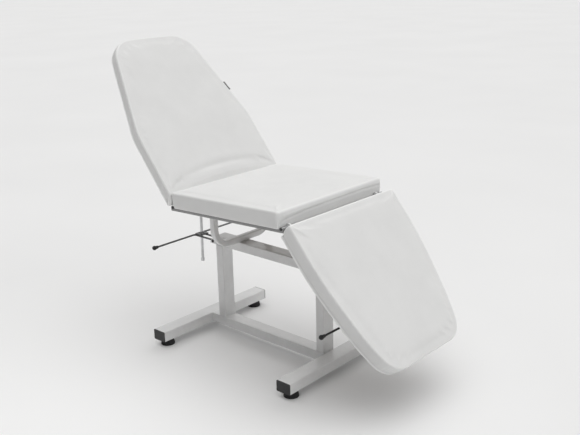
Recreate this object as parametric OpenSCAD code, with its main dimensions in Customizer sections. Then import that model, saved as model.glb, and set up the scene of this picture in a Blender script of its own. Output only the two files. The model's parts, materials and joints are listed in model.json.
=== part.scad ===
// Podiatry chair: a welded stand carries a padded seat, with a reclining backrest behind it
// and a hinged leg rest in front. Each is held by a strut that a sprung-open plate grips.
// X runs from the backrest to the leg rest, Y across and Z up. The origin is on the floor,
// under the middle of the chair's length and width. Sizes are in millimetres.

/* [Stand] */
// Length of the stand over its two foot tubes
stand_length = 766.6; // [740:0.1:790]
// Length of a foot tube across the chair, without its end caps
foot_length = 602; // [540:1:640]
// Width of a foot tube
foot_wide = 66; // [58:1:72]
// Height of a foot tube
foot_high = 44; // [38:1:48]
// Width of the rails and posts across the chair
rail_wide = 60; // [56:1:64]
// Height of a rail, and depth of a post along the chair
rail_high = 40; // [34:1:44]
// Height of the two posts between the rails
post_height = 323; // [310:1:332]
// Distance from the rear foot's rear face to the rear post
post_inset = 109.8; // [105:0.1:125]
// Wall of the foot tubes, rails and posts
stand_wall = 2.5; // [1.5:0.1:3]
// Outer corner radius of the rectangular tubes
tube_corner = 4; // [3:0.5:5]

/* [Seat brackets] */
// Side of the square tube of the two seat brackets
bracket_tube = 25; // [22:1:28]
// Width of a seat bracket over its two legs
bracket_width = 337; // [300:1:380]
// Outer radius of the bends of a seat bracket
bracket_bend = 87.5; // [70:0.5:92]
// Distance from the rear foot's rear face to the rear bracket
bracket_inset = 232; // [200:1:260]
// Wall of the square tube
bracket_wall = 2; // [1.5:0.1:2.5]

/* [Seat] */
// Height of the rear hinge pins above the floor
hinge_height = 629.5; // [620:0.5:640]
// Distance from the rear foot's rear face to the rear hinge pins
hinge_inset = 161.5; // [156:0.5:166]
// Distance from the rear hinge pins to the front ones
hinge_pitch = 572.5; // [560:0.5:580]
// Rise of the seat toward its front, in degrees
seat_tilt = 2.5; // [1.5:0.1:3.5]
// Width of the seat cushion
seat_width = 598; // [596:1:640]
// Thickness of the seat cushion above its board
seat_thick = 47; // [42:0.5:52]
// Gap from a hinge axis to the end of the seat cushion
seat_gap = 5; // [4:0.5:7]

/* [Backrest] */
// Angle of the backrest above the seat's forward direction, in degrees
back_angle = 128.6; // [115:0.1:150]
// Steepest angle that the backrest comes up to, in degrees
back_upright = 110; // [108:1:113]
// Distance from the hinge axis to the top of the backrest
back_reach = 741; // [680:1:780]
// How much wider the backrest is than the seat
back_wider = 4; // [0:1:10]
// How far each of the backrest's sides tapers inward up to its top
back_taper = 110; // [90:1:130]
// Distance from the hinge axis to where the sides begin to taper
back_kink = 318; // [260:1:360]
// Radius of the two top corners
back_corner = 115; // [90:1:130]
// Thickness of the backrest cushion in front of its board
back_thick = 38; // [34:0.5:42]
// Distance of the board's rear face behind the hinge axis
back_set = 5.7; // [4.5:0.1:7]

/* [Leg rest] */
// Angle of the leg rest below the horizontal, in degrees
leg_angle = 50.6; // [40:0.1:55]
// Distance from the hinge axis to the end of the leg rest
leg_reach = 617; // [560:1:660]
// How much narrower the leg rest is than the seat
leg_narrower = 2; // [0:1:8]
// How far each of the leg rest's sides runs inward up to its end
leg_taper = 102; // [90:1:115]
// Distance from the hinge axis to where the sides' sweep sets in
leg_sweep = 229; // [210:1:240]
// Distance from the leg rest's end back to where the sides' sweep tightens
leg_sweep_back = 129; // [123:1:139]
// How far each side has run inward where its sweep tightens
leg_mid_taper = 51; // [46:1:56]
// Radius of the long part of each side's sweep
leg_sweep_radius = 1200; // [800:10:1300]
// Radius of the tighter part of each side's sweep
leg_tight_radius = 700; // [400:10:720]
// Radius of the two end corners
leg_corner = 97; // [80:1:110]
// Thickness of the leg rest cushion in front of its board
leg_thick = 57; // [52:0.5:60]
// Distance of the board's lower face below the hinge axis
leg_set = 12; // [11:0.5:13]

/* [Upholstery] */
// Thickness of the plywood boards
board_thick = 12; // [9:0.5:13]
// Rounding of the cushions' top edges
cushion_edge = 10; // [6:0.5:14]
// Height of the crown of a cushion above its edge
cushion_crown = 3.5; // [2:0.5:6]
// How far a cushion's sides are drawn in at the board
side_draw = 3; // [1:0.5:4]
// How far a board lies inside its cushion's edge
board_inset = 5; // [4:0.5:8]

/* [Panel frames] */
// Width of the flat frame tubes under the boards
frame_wide = 30; // [26:1:34]
// Height of the flat frame tubes
frame_high = 18; // [16:0.5:20]
// Wall of the flat frame tubes
frame_wall = 1.8; // [1.5:0.1:2.5]
// Distance from the backrest's widest side in to a frame tube's middle
back_frame_inset = 96; // [85:1:120]
// Distance from the leg rest's widest side in to a frame tube's middle
leg_frame_inset = 133; // [120:1:155]

/* [Hinges] */
// Diameter of the hinge pins
pin_d = 10; // [8:0.5:11]
// Radius of the round eyes on the hinge ears
ear_radius = 13.5; // [12.5:0.5:14]
// Thickness of the hinge ears
ear_thick = 6; // [5:0.5:7]
// Height of the black caps over the hinge pins
pin_cap_high = 4; // [3:0.5:6]

/* [Struts] */
// Diameter of the strut rods
strut_d = 12; // [10:0.5:13]
// Length of the backrest strut from its pin to its free end
back_strut_length = 513; // [500:1:525]
// Distance along the backrest from the hinge axis to the strut pin
back_strut_at = 235; // [230:1:240]
// Distance of the strut pin behind the backrest's hinge axis
back_strut_off = 20; // [19:0.5:22]
// Length of the leg rest strut from its pin to its free end
leg_strut_length = 402; // [395:1:410]
// Distance along the leg rest from the hinge axis to the strut pin
leg_strut_at = 120; // [116:1:124]
// Distance of the strut pin below the leg rest's hinge axis
leg_strut_off = 26; // [25:0.5:28]
// Diameter of the strut pins and the lever pins
small_pin_d = 8; // [7:0.5:9]

/* [Release levers] */
// Diameter of the bent rod of a release lever
lever_rod = 8; // [7:0.5:9]
// Distance from a lever's pin to its cross handle
lever_reach = 124.5; // [121:0.5:130]
// Distance from the centre line to the middle of each knob
knob_place = 242; // [200:1:260]
// Largest diameter of the pear-shaped knobs
knob_d = 19; // [16:0.5:24]
// Length of a knob's tapered neck
knob_neck = 9; // [6:0.5:12]
// Distance from a lever's pin to the middle of its gripping plate
plate_reach = 98; // [97.5:0.1:98.5]
// Height of the rear lever's pin above the upper rail's underside
rear_lever_up = 11.5; // [10:0.5:14]
// Distance of the rear lever's pin behind the rear post
rear_lever_out = 20.3; // [18:0.1:22]
// Height of the front lever's pin above the floor
front_lever_height = 268; // [264:1:272]
// Distance of the front lever's pin ahead of the front post
front_lever_out = 42; // [41:0.1:43]

/* [Floor feet] */
// Height of the rubber feet below the foot tubes
pad_high = 27.3; // [22:0.1:32]
// Diameter of a rubber foot at the floor
pad_d = 58.6; // [50:0.1:62]
// Distance from a foot tube's capped end to the middle of its rubber foot
pad_inset = 44; // [38:1:60]

/* [Hidden] */
$fn = 64;
// Reach of a cutting solid past the face that it cuts
overrun = 2;
// Radial clearance of the turning pins
run_clear = 0.05;
// Radial clearance of the fixed pins, screws and plugs
fit_clear = 0.1;
// Gap between faces that move past each other
side_gap = 0.5;
// How far the seat frame lies inside the seat cushion's sides
frame_inset = 8;
// Gap between a resting part and its stop
stop_gap = 0.3;
// Thickness of the plastic end caps outside the tubes
cap_thick = 3;
// Depth of the plugs inside the tubes
plug_deep = 14;
// Wall of the hollow plugs
plug_wall = 2;
// Number of steps in a small and in a large corner of an outline
fine_steps = 5;
broad_steps = 8;
// Clearance that the backrest cushion keeps from the seat when fully upright
seat_clear = 3;
// Plan radius of the square corners of the cushions
square_corner = 18;
// Overlap of a rod into the eye that it is welded to
weld_bite = 2;

// The foot tubes' height and the rails' levels
foot_base = pad_high;
foot_top = foot_base + foot_high;
post_top = foot_top + post_height;
rail_top = post_top + rail_high;
front_foot_x = stand_length - foot_wide;
pad_y = foot_length / 2 + cap_thick - pad_inset;

// The front seat bracket's front face lies over the front post's front face
front_bracket_x = front_foot_x - bracket_tube;

// The seat's own frame: X along the seat from the rear pins, Z up from the pins
front_hinge_x = hinge_inset + hinge_pitch * cos(seat_tilt);
front_hinge_z = hinge_height + hinge_pitch * sin(seat_tilt);
pin_level = frame_high * 0.8;
frame_base = -pin_level;
frame_face = frame_high - pin_level;
frame_overhang = pin_d + side_gap;
seat_frame_side = seat_width / 2 - frame_inset - frame_wide / 2;
seat_face = frame_face + board_thick;
seat_top = seat_face + seat_thick;
ear_clear = ear_radius + 2 * side_gap;

// Widths of the backrest and the leg rest follow the seat's
back_width = seat_width + back_wider;
back_top_width = back_width - 2 * back_taper;
back_frame_side = back_width / 2 - back_frame_inset;
leg_width = seat_width - leg_narrower;
leg_mid_width = leg_width - 2 * leg_mid_taper;
leg_end_width = leg_width - 2 * leg_taper;
leg_sweep_end = leg_reach - leg_sweep_back;
leg_frame_side = leg_width / 2 - leg_frame_inset;

// Ears, lugs and the end tubes of the two swinging frames
ear_outer = seat_frame_side - frame_wide / 2 - 10 * side_gap;
ear_inner = ear_outer - ear_thick;
ear_reach = 35;
eye_d = 3 * small_pin_d;
eye_long = 14;
lug_thick = 4;
lug_inner = eye_long / 2 + side_gap;
lug_gap = 16;
frame_end_gap = 150;
leg_frame_end_gap = 75;

// Lever proportions
boss_d = 2 * lever_rod;
arm_place = 17.5;
elbow = 10;
plate_thick = 5;
plate_half = arm_place + lever_rod / 2;
plate_level = lever_rod / 2 + plate_thick / 2;
cheek_inner = arm_place + lever_rod / 2 + 3 * side_gap;
cheek_thick = 4;
cheek_radius = 10;
stop_start = boss_d / 2 + 4 * side_gap;
stop_long = 6;
rear_lever_x = post_inset - rear_lever_out;
rear_lever_z = post_top + rear_lever_up;
front_lever_x = front_foot_x + front_lever_out;

// How far each slot reaches from the rod's axis, toward the pin and away from it
rear_slot_in = 14.1;
rear_slot_out = 13.6;
front_slot_in = 15.7;
front_slot_out = 18.7;
slot_side = 2;

// Screws under the boards and in the feet
screw_d = 5;
screw_head = 11;
screw_head_high = 2.5;
screw_bite = 9;

// Strut pins and the struts' directions at rest, in degrees from +X toward +Z
back_pin = [hinge_inset + back_strut_at * cos(back_angle) - back_strut_off * sin(back_angle),
            hinge_height + back_strut_at * sin(back_angle) + back_strut_off * cos(back_angle)];
leg_pin = [front_hinge_x + leg_strut_at * cos(leg_angle) - leg_strut_off * sin(leg_angle),
           front_hinge_z - leg_strut_at * sin(leg_angle) - leg_strut_off * cos(leg_angle)];
rear_grip = [rear_lever_x - plate_reach, rear_lever_z + plate_level];
front_grip = [front_lever_x + plate_reach, front_lever_height + plate_level];
back_strut_dir = atan2(rear_grip[1] - back_pin[1], rear_grip[0] - back_pin[0]);
leg_strut_dir = atan2(front_grip[1] - leg_pin[1], front_grip[0] - leg_pin[0]);

// The backrest cushion's lower end follows the seat when the backrest is fully upright
bevel = back_upright - 90 - seat_tilt;
bevel_base = seat_gap - seat_clear;
bevel_top = seat_top + seat_clear;
bevel_u = bevel_top * cos(bevel) - bevel_base * sin(bevel);
bevel_h = bevel_top * sin(bevel) + bevel_base * cos(bevel);
back_start = 20;
back_low_shares = [0, 0.07, 0.24, 0.45, 0.6];
function back_low(h) = h > bevel_h
  ? bevel_u - (h - bevel_h) * tan(bevel)
  : max(back_start, (h - bevel_base / cos(bevel)) / tan(bevel));
leg_start = 20;
back_bow = 5;
bow_radius = 1500;
kink_radius = 470;

// One rounded corner of an outline: points with their outward normals
function unit(v) = v / norm(v);
function turn_of(a) = a > 180 ? a - 360 : a < -180 ? a + 360 : a;
function corner_points(before, at, after, radius, steps) =
  let (a = unit(before - at), b = unit(after - at))
  let (half = acos(a * b) / 2, middle = at + unit(a + b) * radius / sin(half))
  let (first = at + a * radius / tan(half) - middle, last = at + b * radius / tan(half) - middle)
  let (start = atan2(first[1], first[0]), sweep = turn_of(atan2(last[1], last[0]) - start))
  [for (i = [0:steps])
    let (t = start + sweep * i / steps)
    [middle[0] + radius * cos(t), middle[1] + radius * sin(t), cos(t), sin(t)]];
function outline(corners) =
  let (n = len(corners))
  [for (i = [0:n - 1])
    let (c = corners[i], p = corners[(i + n - 1) % n], q = corners[(i + 1) % n])
    each corner_points([p[0], p[1]], [c[0], c[1]], [q[0], q[1]], c[2], c[3])];
function inset(points, depth) = [for (p = points) [p[0] - depth * p[2], p[1] - depth * p[3]]];

// Corners of the three upholstered panels: place along, place across, radius, steps
function seat_corners() =
  let (w = seat_width / 2, s = square_corner, n = fine_steps)
  [[seat_gap, -w, s, n], [hinge_pitch - seat_gap, -w, s, n],
   [hinge_pitch - seat_gap, w, s, n], [seat_gap, w, s, n]];
function back_corners(low) =
  let (w = back_width / 2, t = back_top_width / 2, s = square_corner, n = fine_steps)
  [[low, -w, s, n], [back_kink, -w, kink_radius, n], [back_reach, -t, back_corner, broad_steps],
   [back_reach + back_bow, 0, bow_radius, n],
   [back_reach, t, back_corner, broad_steps], [back_kink, w, kink_radius, n], [low, w, s, n]];
function leg_corners() =
  let (w = leg_width / 2, m = leg_mid_width / 2, t = leg_end_width / 2)
  let (s = square_corner, n = fine_steps, b = broad_steps)
  [[leg_start, -w, s, n], [leg_sweep, -w, leg_sweep_radius, n],
   [leg_sweep_end, -m, leg_tight_radius, n], [leg_reach, -t, leg_corner, b],
   [leg_reach, t, leg_corner, b], [leg_sweep_end, m, leg_tight_radius, n],
   [leg_sweep, w, leg_sweep_radius, n], [leg_start, w, s, n]];

// Heights and insets of a cushion's side rings from its board to the edge of its face
edge_turns = [0, 22.5, 45, 67.5, 90];
crown_shares = [0.86, 0.6, 0.3];
function side_levels(thick) =
  let (straight = thick - cushion_edge)
  concat([[0, side_draw], [straight * 0.3, side_draw * 0.35], [straight * 0.65, 0]],
         [for (t = edge_turns)
           [straight + cushion_edge * sin(t), cushion_edge * (1 - cos(t))]]);
function ring_at(points, depth, level) = [for (p = inset(points, depth)) [p[0], p[1], level]];
function crown_ring(ring, middle, part, level) =
  [for (p = ring) [middle + (p[0] - middle) * part, p[1] * part, level]];

// Stack of rings closed at both ends
module ring_stack(rings) {
  n = len(rings[0]);
  m = len(rings);
  points = [for (ring = rings) each ring];
  sides = [for (j = [0:m - 2], i = [0:n - 1])
    let (a = j * n + i, b = j * n + (i + 1) % n)
    each [[a, a + n, b + n], [a, b + n, b]]];
  polyhedron(points = points,
    faces = concat([[for (i = [0:n - 1]) i]], sides, [[for (i = [n - 1:-1:0]) (m - 1) * n + i]]),
    convexity = 4);
}

function seat_rings() =
  let (o = outline(seat_corners()), top = ring_at(o, cushion_edge, seat_thick))
  concat([for (l = side_levels(seat_thick)) ring_at(o, l[1], l[0])],
         [for (c = crown_shares) crown_ring(top, hinge_pitch / 2, c,
           seat_thick + cushion_crown * (1 - c * c))]);

// The backrest's rings: extra levels where its lower end turns
back_bend_level = max(0, bevel_h - (board_thick - back_set));
function back_levels() =
  let (l = side_levels(back_thick), b = back_bend_level)
  concat([l[0], l[1], [b, 0]], [for (i = [3:len(l) - 1]) l[i]]);
function back_ring(level, depth) =
  ring_at(outline(back_corners(back_low(level + board_thick - back_set))), depth, level);
function back_rings() =
  let (top = back_ring(back_thick, cushion_edge))
  concat([for (l = back_levels()) back_ring(l[0], l[1])],
         [for (c = crown_shares) crown_ring(top, (back_reach + bevel_u) / 2, c,
           back_thick + cushion_crown * (1 - c * c))]);
function leg_rings() =
  let (o = outline(leg_corners()), top = ring_at(o, cushion_edge, leg_thick))
  concat([for (l = side_levels(leg_thick)) ring_at(o, l[1], l[0])],
         [for (c = crown_shares) crown_ring(top, (leg_reach + leg_start) / 2, c,
           leg_thick + cushion_crown * (1 - c * c))]);

// Ends of the chair along X, which place the origin under its middle
back_board_points = inset(outline(back_corners(back_start)), board_inset);
rear_end = min([for (p = back_board_points)
  hinge_inset + p[0] * cos(back_angle) - back_set * sin(back_angle)]);
front_end = max([for (ring = leg_rings(), p = ring)
  front_hinge_x + p[0] * cos(leg_angle) + (p[2] + board_thick - leg_set) * sin(leg_angle)]);
middle_x = (rear_end + front_end) / 2;

// Colours
paint = [0.86, 0.87, 0.88];
vinyl = [0.93, 0.93, 0.92];
black = [0.09, 0.09, 0.1];
zinc = [0.66, 0.67, 0.69];
steel = [0.34, 0.34, 0.35];
wood = [0.75, 0.62, 0.45];

// Places
module place() translate([-middle_x, 0, 0]) children();
module on_seat() place() translate([hinge_inset, 0, hinge_height]) rotate([0, -seat_tilt, 0]) children();
module on_back() place() translate([hinge_inset, 0, hinge_height]) rotate([0, -back_angle, 0])
  rotate([180, 0, 0]) children();
module on_leg() place() translate([front_hinge_x, 0, front_hinge_z]) rotate([0, leg_angle, 0])
  children();
module both_sides() for (side = [0, 1]) mirror([0, side, 0]) children();
module along_x() rotate([90, 0, 90]) children();
module along_y(long) rotate([90, 0, 0]) linear_extrude(long, center = true) children();

// Rounded rectangle and the section of a rectangular tube
module rounded_section(wide, high, corner) {
  square([wide - 2 * corner, high], center = true);
  square([wide, high - 2 * corner], center = true);
  for (x = [-1, 1], y = [-1, 1])
    translate([x * (wide / 2 - corner), y * (high / 2 - corner)]) circle(corner, $fn = 32);
}
module tube_section(wide, high, wall, corner) difference() {
  rounded_section(wide, high, corner);
  rounded_section(wide - 2 * wall, high - 2 * wall, max(corner - wall, wall / 4));
}
module stand_section(wide, high) tube_section(wide, high, stand_wall, tube_corner);
module frame_section() tube_section(frame_wide, frame_high, frame_wall, tube_corner / 2);

// Foot tubes, closed by plastic caps, on rubber feet
module foot_tube(x) color(paint) place() difference() {
  translate([x + foot_wide / 2, 0, foot_base + foot_high / 2])
    along_y(foot_length) stand_section(foot_wide, foot_high);
  for (y = [-1, 1]) translate([x + foot_wide / 2, y * pad_y, foot_base - overrun])
    cylinder(d = screw_d + 2 * fit_clear, h = stand_wall + 2 * overrun);
}
module rear_foot_tube() foot_tube(0);
module front_foot_tube() foot_tube(front_foot_x);

module plug(wide, high, wall, corner) {
  gap = 2 * (wall + fit_clear);
  along_x() linear_extrude(cap_thick) rounded_section(wide, high, corner);
  translate([-plug_deep, 0, 0]) along_x() linear_extrude(plug_deep)
    tube_section(wide - gap, high - gap, plug_wall, max(corner - wall, wall / 4));
}
module foot_end_caps() color(black) place() both_sides()
  for (x = [foot_wide / 2, front_foot_x + foot_wide / 2])
    translate([x, foot_length / 2, foot_base + foot_high / 2]) rotate([0, 0, 90])
      plug(foot_wide, foot_high, stand_wall, tube_corner);

module at_pads() both_sides() for (x = [foot_wide / 2, front_foot_x + foot_wide / 2])
  translate([x, pad_y, 0]) children();
pad_taper = 4;
pad_round = 5;
pad_bore = pad_high * 0.35;
module rubber_feet() color(black) place() at_pads() difference() {
  union() {
    cylinder(d = pad_d, h = pad_round);
    translate([0, 0, pad_round]) cylinder(d1 = pad_d, d2 = pad_d - 2 * pad_taper,
      h = pad_high - 2 * pad_round);
    translate([0, 0, pad_high - pad_round]) rotate_extrude() {
      square([pad_d / 2 - pad_taper - pad_round, pad_round]);
      intersection() {
        translate([pad_d / 2 - pad_taper - pad_round, 0]) circle(pad_round);
        square([pad_d / 2, pad_round]);
      }
    }
  }
  translate([0, 0, -overrun]) cylinder(d = screw_head + 2 * side_gap, h = pad_bore + overrun);
  translate([0, 0, -overrun]) cylinder(d = screw_d + 2 * fit_clear, h = pad_high + 2 * overrun);
}
module rubber_foot_screws() color(zinc) place() at_pads() translate([0, 0, pad_bore])
  screw(pad_high - pad_bore + stand_wall + screw_bite);

// A screw with its head's bearing face at Z = 0 and its shank upward
module screw(long) {
  translate([0, 0, -screw_head_high]) cylinder(d = screw_head, h = screw_head_high);
  cylinder(d = screw_d, h = long);
}

// Rails and posts
module lower_rail() color(paint) place()
  translate([foot_wide, 0, foot_top - rail_high / 2]) along_x()
    linear_extrude(front_foot_x - foot_wide) stand_section(rail_wide, rail_high);
module post(x) color(paint) place() translate([x + rail_high / 2, 0, foot_top])
  linear_extrude(post_height) stand_section(rail_high, rail_wide);
module rear_post() post(post_inset);
module front_post() post(front_foot_x - rail_high);
module upper_rail() color(paint) place()
  translate([post_inset, 0, post_top + rail_high / 2]) along_x()
    linear_extrude(front_foot_x - post_inset) stand_section(rail_wide, rail_high);
module upper_rail_cap() color(black) place()
  translate([front_foot_x, 0, post_top + rail_high / 2])
    plug(rail_wide, rail_high, stand_wall, tube_corner);

// U-shaped seat brackets: two legs and a bottom run joined by true bends
bend_middle = bracket_bend - bracket_tube / 2;
module bracket_run(wide, corner) {
  bend_y = bracket_width / 2 - bracket_bend;
  translate([0, 0, bracket_tube / 2]) along_y(2 * bend_y) rounded_section(wide, wide, corner);
  both_sides() translate([0, bend_y, bracket_bend]) {
    rotate([90, 0, 90]) rotate([0, 0, -90]) rotate_extrude(angle = 90)
      translate([bend_middle, 0]) rounded_section(wide, wide, corner);
    translate([0, bend_middle, 0]) linear_extrude(front_hinge_z - rail_top)
      rounded_section(wide, wide, corner);
  }
}
module seat_bracket(x) color(paint) difference() {
  place() translate([x + bracket_tube / 2, 0, rail_top]) difference() {
    bracket_run(bracket_tube, tube_corner);
    bracket_run(bracket_tube - 2 * bracket_wall, tube_corner / 2);
  }
  on_seat() translate([-hinge_pitch / 2, -bracket_width, frame_base])
    cube([2 * hinge_pitch, 2 * bracket_width, front_hinge_z]);
}
module rear_seat_bracket() seat_bracket(bracket_inset);
module front_seat_bracket() seat_bracket(front_bracket_x);

// Seat frame: side tubes with the hinge pins at their ends, and cross tubes over the brackets
function along_seat(x) = (x + bracket_tube / 2 - hinge_inset) / cos(seat_tilt);
seat_screw_shares = [0.2, 0.5, 0.8];
module at_seat_screws() both_sides() for (s = seat_screw_shares)
  translate([hinge_pitch * s, seat_frame_side, frame_base]) children();
module seat_frame() color(paint) on_seat() difference() {
  union() {
    both_sides() translate([-frame_overhang, seat_frame_side, frame_base + frame_high / 2])
      along_x() linear_extrude(hinge_pitch + 2 * frame_overhang) frame_section();
    for (x = [bracket_inset, front_bracket_x])
      translate([along_seat(x), 0, frame_base + frame_high / 2])
        along_y(2 * seat_frame_side - frame_wide) frame_section();
  }
  for (x = [0, hinge_pitch]) translate([x, 0, 0]) rotate([90, 0, 0])
    cylinder(d = pin_d + 2 * run_clear, h = seat_width + 2 * overrun, center = true);
  at_seat_screws() translate([0, 0, -overrun])
    cylinder(d = screw_d + 2 * fit_clear, h = frame_high + 2 * overrun);
}
module seat_board() color(wood) on_seat() difference() {
  translate([0, 0, frame_face]) linear_extrude(board_thick) intersection() {
    polygon(inset(outline(seat_corners()), board_inset));
    translate([ear_clear, -seat_width / 2]) square([hinge_pitch - 2 * ear_clear, seat_width]);
  }
  at_seat_screws() cylinder(d = screw_d + 2 * fit_clear, h = frame_high + screw_bite + fit_clear);
}
module seat_cushion() color(vinyl) on_seat() translate([0, 0, seat_face]) ring_stack(seat_rings());
module seat_board_screws() color(zinc) on_seat() at_seat_screws() screw(frame_high + screw_bite);

// Hinge pins with inner heads, and the black caps over their outer ends
pin_head_d = 1.6 * pin_d;
pin_cap_d = 1.15 * pin_d;
pin_head_high = 4;
module hinge_pins(x) color(zinc) on_seat() both_sides()
  translate([x, ear_inner - side_gap, 0]) rotate([-90, 0, 0]) {
    cylinder(d = pin_d, h = seat_frame_side + frame_wide / 2 - ear_inner + side_gap);
    translate([0, 0, -pin_head_high]) cylinder(d = pin_head_d, h = pin_head_high);
  }
module rear_hinge_pins() hinge_pins(0);
module front_hinge_pins() hinge_pins(hinge_pitch);
module hinge_pin_caps() color(black) on_seat() both_sides() for (x = [0, hinge_pitch])
  translate([x, seat_frame_side + frame_wide / 2, 0]) rotate([-90, 0, 0]) {
    cylinder(d = pin_cap_d, h = pin_cap_high / 2);
    translate([0, 0, pin_cap_high / 2])
      cylinder(d1 = pin_cap_d, d2 = pin_cap_d - pin_cap_high, h = pin_cap_high / 2);
  }

// A swinging frame: ears at the hinge, side tubes, cross tubes and the lugs of the strut pin.
// face is the height of the board's seat, reach the far end and side the tubes' middle.
module ear_plate(face) difference() {
  union() {
    circle(ear_radius);
    polygon([[0, weld_bite - ear_radius], [ear_reach, face - frame_high],
      [ear_reach + frame_wide, face - frame_high], [ear_reach + frame_wide, face], [0, face]]);
  }
  circle(d = pin_d + 2 * run_clear);
}
module lug_plate(face, off, toward) difference() {
  union() {
    circle(d = eye_d);
    translate([toward > 0 ? 0 : -lug_gap, face + off - frame_high])
      square([lug_gap, frame_high]);
  }
  circle(d = small_pin_d + 2 * fit_clear);
}
function cross_at(pin_at, toward) = pin_at + toward * (lug_gap + frame_wide / 2);
module at_frame_screws(face, side, from, to) both_sides()
  for (u = [from, (from + to) / 2, to]) translate([u, side, face - frame_high]) children();
module swing_frame(face, side, reach, pin_at, off, toward) difference() {
  start = ear_reach + frame_wide;
  union() {
    translate([ear_reach + frame_wide / 2, 0, face - frame_high / 2])
      along_y(2 * ear_inner) frame_section();
    both_sides() translate([start, side, face - frame_high / 2])
      along_x() linear_extrude(reach - start) frame_section();
    translate([reach + frame_wide / 2, 0, face - frame_high / 2])
      along_y(2 * side + frame_wide) frame_section();
    translate([cross_at(pin_at, toward), 0, face - frame_high / 2])
      along_y(2 * side - frame_wide) frame_section();
    both_sides() {
      translate([0, ear_outer, 0]) rotate([90, 0, 0]) linear_extrude(ear_thick) ear_plate(face);
      translate([pin_at, lug_inner + lug_thick, -off]) rotate([90, 0, 0])
        linear_extrude(lug_thick) lug_plate(face, off, toward);
    }
  }
  at_frame_screws(face, side, start + frame_wide, reach - frame_wide)
    translate([0, 0, -overrun]) cylinder(d = screw_d + 2 * fit_clear, h = frame_high + 2 * overrun);
}
module board_screw_holes(face, side, reach)
  at_frame_screws(face, side, ear_reach + 2 * frame_wide, reach - frame_wide)
    cylinder(d = screw_d + 2 * fit_clear, h = frame_high + screw_bite + fit_clear);
module board_screws(face, side, reach)
  at_frame_screws(face, side, ear_reach + 2 * frame_wide, reach - frame_wide)
    screw(frame_high + screw_bite);
module strut_pin(at, off) translate([at, 0, -off]) rotate([90, 0, 0]) {
  half = lug_inner + lug_thick;
  cylinder(d = small_pin_d, h = 2 * half, center = true);
  for (end = [-1, 1]) translate([0, 0, end * (half + pin_head_high / 4)])
    cylinder(d = small_pin_d * 1.5, h = pin_head_high / 2, center = true);
}

// Backrest
back_frame_reach = back_reach - frame_end_gap - frame_wide;
module backrest_frame() color(paint) on_back()
  swing_frame(-back_set, back_frame_side, back_frame_reach, back_strut_at, back_strut_off, 1);
module backrest_board() color(wood) on_back() difference() {
  translate([0, 0, -back_set]) linear_extrude(board_thick) polygon(back_board_points);
  board_screw_holes(-back_set, back_frame_side, back_frame_reach);
}
module backrest_cushion() color(vinyl) on_back()
  translate([0, 0, board_thick - back_set]) ring_stack(back_rings());
module backrest_board_screws() color(zinc) on_back()
  board_screws(-back_set, back_frame_side, back_frame_reach);
module backrest_strut_pin() color(zinc) on_back() strut_pin(back_strut_at, back_strut_off);

// Leg rest
leg_frame_reach = leg_reach - leg_frame_end_gap - frame_wide;
module legrest_frame() color(paint) on_leg()
  swing_frame(-leg_set, leg_frame_side, leg_frame_reach, leg_strut_at, leg_strut_off, -1);
module legrest_board() color(wood) on_leg() difference() {
  translate([0, 0, -leg_set]) linear_extrude(board_thick)
    polygon(inset(outline(leg_corners()), board_inset));
  board_screw_holes(-leg_set, leg_frame_side, leg_frame_reach);
}
module legrest_cushion() color(vinyl) on_leg()
  translate([0, 0, board_thick - leg_set]) ring_stack(leg_rings());
module legrest_board_screws() color(zinc) on_leg()
  board_screws(-leg_set, leg_frame_side, leg_frame_reach);
module legrest_strut_pin() color(zinc) on_leg() strut_pin(leg_strut_at, leg_strut_off);

// Strut rods with an eye at the pin and a stop collar at the free end
collar_high = 12;
collar_wall = 2;
module at_strut(pin, direction) place() translate([pin[0], 0, pin[1]])
  rotate([0, -direction - 90, 0]) children();
module strut(long) difference() {
  union() {
    rotate([90, 0, 0]) cylinder(d = eye_d, h = eye_long, center = true);
    translate([0, 0, -long]) cylinder(d = strut_d, h = long - eye_d / 2 + weld_bite);
  }
  rotate([90, 0, 0]) cylinder(d = small_pin_d + 2 * run_clear, h = eye_long + 2 * overrun,
    center = true);
}
module collar(long) translate([0, 0, -long + fit_clear]) difference() {
  cylinder(d = strut_d + 2 * collar_wall, h = collar_high);
  translate([0, 0, -overrun]) cylinder(d = strut_d + 2 * fit_clear, h = collar_high + 2 * overrun);
}
module backrest_strut() color(zinc) at_strut(back_pin, back_strut_dir) strut(back_strut_length);
module backrest_strut_collar() color(zinc) at_strut(back_pin, back_strut_dir)
  collar(back_strut_length);
module legrest_strut() color(zinc) at_strut(leg_pin, leg_strut_dir) strut(leg_strut_length);
module legrest_strut_collar() color(zinc) at_strut(leg_pin, leg_strut_dir)
  collar(leg_strut_length);

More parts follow.
